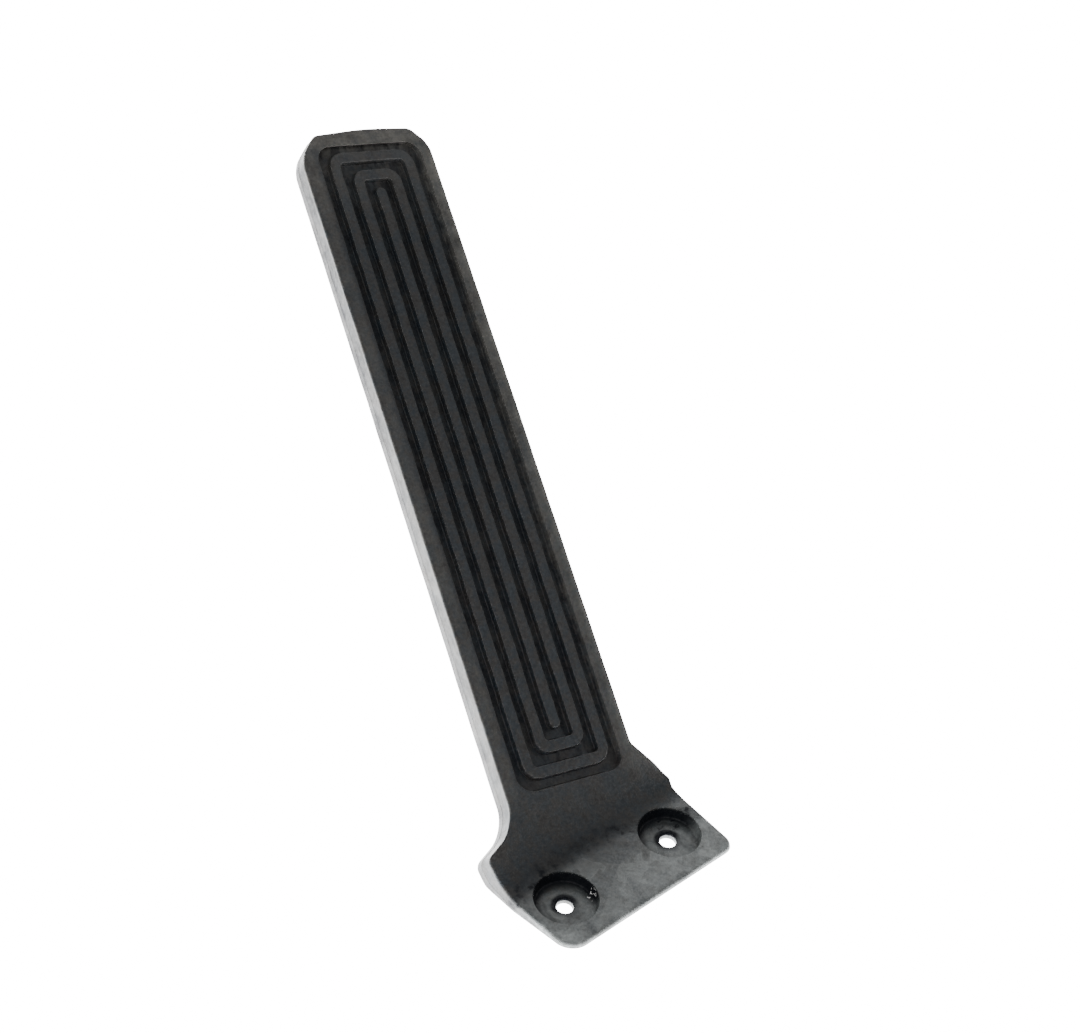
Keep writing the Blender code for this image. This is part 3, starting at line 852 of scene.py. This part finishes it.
def rubber():
    """Black rubber with dirt on the foot and the rims, rubbed along the ribs, with painted light on the
    foot's front and on the right rim's edge, painted shade in the bend and in the screw recesses, and a
    painted glint in the left recess.
    """
    material = bpy.data.materials.new("black_rubber")
    material.use_nodes = True
    nodes = Nodes(material.node_tree)
    links = material.node_tree.links
    shader = material.node_tree.nodes["Principled BSDF"]
    place = nodes.add("ShaderNodeAttribute", attribute_name="flat_place").outputs["Vector"]
    worn = nodes.add("ShaderNodeAttribute", attribute_name="worn").outputs["Fac"]
    frame = nodes.add("ShaderNodeGroup", node_tree=pad_frame())
    links.new(place, frame.inputs["Place"])
    dirt = nodes.add("ShaderNodeGroup", node_tree=grime_and_painted_light())
    links.new(place, dirt.inputs["Place"])
    links.new(frame.outputs["Across"], dirt.inputs["Across"])
    links.new(frame.outputs["Along"], dirt.inputs["Along"])
    masks = dirt.outputs
    clean = nodes.blend(masks["Tint"], COOL_BLACK, WARM_BLACK)
    rubbed = nodes.blend(nodes.times(worn, RUB_STRENGTH), clean, RUBBED_BLACK)
    # The dust colour also paints light on the foot's front and a highlight on the right rim's edge.
    dust_and_light_colour = nodes.blend(masks["Foot"], RIM_DUST_AND_LIGHT, FOOT_DUST_AND_LIGHT)
    dusty_and_lit = nodes.blend(nodes.times(masks["Dust_and_light"], DUST_AND_LIGHT_STRENGTH), rubbed, dust_and_light_colour)
    # Painted shade from the crease and the recesses darkens the colour and dulls the sheen; the glint paints
    # white spots.
    smudge_and_shade = nodes.most(masks["Smudge_and_shade"], nodes.times(masks["Recess_shade"], RECESS_SHADE_STRENGTH))
    smudged_and_shaded = nodes.blend(nodes.times(smudge_and_shade, SHADE_AND_SMUDGE_STRENGTH), dusty_and_lit, SHADE_AND_SMUDGE_BLACK)
    links.new(nodes.blend(masks["Glint"], smudged_and_shaded, GLINT_WHITE), shader.inputs["Base Color"])
    rough = nodes.ramp(nodes.noise(place, 0.006, 4.0, 0.6), 0.3, 0.7, *ROUGHNESS)
    rough = nodes.plus(rough, nodes.times(masks["Dust_and_light"], DUST_AND_LIGHT_ROUGHNESS))
    links.new(rough, shader.inputs["Roughness"])
    sheen = nodes.ramp(nodes.noise(place, 0.0013, 3.0, 0.7), 0.3, 0.7, *SHEEN)
    links.new(nodes.math("MULTIPLY_ADD", smudge_and_shade, -SHADE_AND_SMUDGE_DULLING, sheen), shader.inputs["Specular IOR Level"])
    skin = nodes.add("ShaderNodeGroup", node_tree=grain())
    links.new(place, skin.inputs["Place"])
    skin.inputs["Strength"].default_value = GRAIN_STRENGTH
    links.new(skin.outputs["Normal"], shader.inputs["Normal"])
    return material


def camera():
    """The photograph's viewpoint."""
    data = bpy.data.cameras.new("camera")
    data.lens = CAMERA_LENS
    data.sensor_width = 36
    data.clip_start = 0.01
    data.clip_end = 20
    item = bpy.data.objects.new("camera", data)
    right, down, ahead = (Vector(axis) for axis in (CAMERA_RIGHT, CAMERA_DOWN, CAMERA_AHEAD))
    turn = Matrix((right, -down, -ahead)).transposed()
    item.matrix_world = Matrix.Translation(CAMERA_PLACE) @ turn.to_4x4()
    bpy.context.scene.collection.objects.link(item)
    bpy.context.scene.camera = item


def lamp(name, direction, spread, glow):
    """A round soft light that shines on the foot from a direction. The spread is half the angle it fills."""
    away = Vector(direction).normalized() * LAMP_DISTANCE
    data = bpy.data.lights.new(name, "AREA")
    data.shape = "DISK"
    data.size = 2 * LAMP_DISTANCE * tan(radians(spread))
    data.energy = glow * pi * pi * data.size ** 2 / 4
    item = bpy.data.objects.new(name, data)
    item.location = away
    item.rotation_euler = away.to_track_quat("Z", "Y").to_euler()
    item.visible_camera = False
    bpy.context.scene.collection.objects.link(item)


def floor_material():
    """White, and seen as bright as the backdrop. It lights the left and the front of the pedal most."""
    material = bpy.data.materials.new("white_floor")
    material.use_nodes = True
    nodes = Nodes(material.node_tree)
    shader = material.node_tree.nodes["Principled BSDF"]
    shader.inputs["Base Color"].default_value = (0.9, 0.9, 0.9, 1)
    shader.inputs["Roughness"].default_value = 0.9
    shader.inputs["Emission Color"].default_value = (1, 1, 1, 1)
    place = nodes.add("ShaderNodeTexCoord").outputs["Object"]
    axes = nodes.add("ShaderNodeSeparateXYZ", {0: place}).outputs
    aside = nodes.math("MULTIPLY_ADD", axes["Y"], -PAD_LINE_SLOPE, axes["X"])
    left = nodes.times(nodes.ramp(axes["Y"], *LEFT_GLOW_BEGINS), nodes.ramp(aside, *LEFT_GLOW_ENDS))
    front = nodes.times(
        nodes.ramp(axes["Y"], *FRONT_GLOW_BEGINS), nodes.ramp(axes["Y"], *FRONT_GLOW_ENDS),
        nodes.ramp(axes["X"], *FRONT_GLOW_FADES),
    )
    lit = nodes.ramp(nodes.most(left, front), 0, 1, FLOOR_DIM, FLOOR_GLOW)
    lit = nodes.most(lit, nodes.ramp(aside, *RIGHT_GLOW_BEGINS, 0, FLOOR_RIGHT_GLOW))
    seen = nodes.add("ShaderNodeLightPath").outputs["Is Camera Ray"]
    glow = nodes.most(lit, nodes.times(seen, FLOOR_GLOW))
    material.node_tree.links.new(glow, shader.inputs["Emission Strength"])
    return material


def studio():
    """A white floor and a white backdrop, and the soft lights."""
    mesh = bmesh.new()
    bmesh.ops.create_grid(mesh, x_segments=1, y_segments=1, size=FLOOR_SIZE)
    data = bpy.data.meshes.new("floor")
    mesh.to_mesh(data)
    mesh.free()
    floor = bpy.data.objects.new("floor", data)
    floor.location.z = -FLOOR_DROP
    bpy.context.scene.collection.objects.link(floor)
    data.materials.append(floor_material())
    world = bpy.data.worlds.new("studio")
    world.use_nodes = True
    nodes = Nodes(world.node_tree)
    background = world.node_tree.nodes["Background"]
    seen = nodes.add("ShaderNodeLightPath").outputs["Is Camera Ray"]
    background.inputs["Color"].default_value = (1, 1, 1, 1)
    world.node_tree.links.new(nodes.ramp(seen, 0, 1, SKY_LIGHT, FLOOR_GLOW), background.inputs["Strength"])
    bpy.context.scene.world = world
    for name, direction, spread, glow in LAMPS:
        lamp(name, direction, spread, glow)


def main():
    """Dresses the pedal."""
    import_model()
    pedal = moulding()
    pedal.data.materials.append(rubber())
    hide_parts("mounting_foot", "flex_web", "tread_pad")
    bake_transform(pedal)
    camera()
    studio()


main()
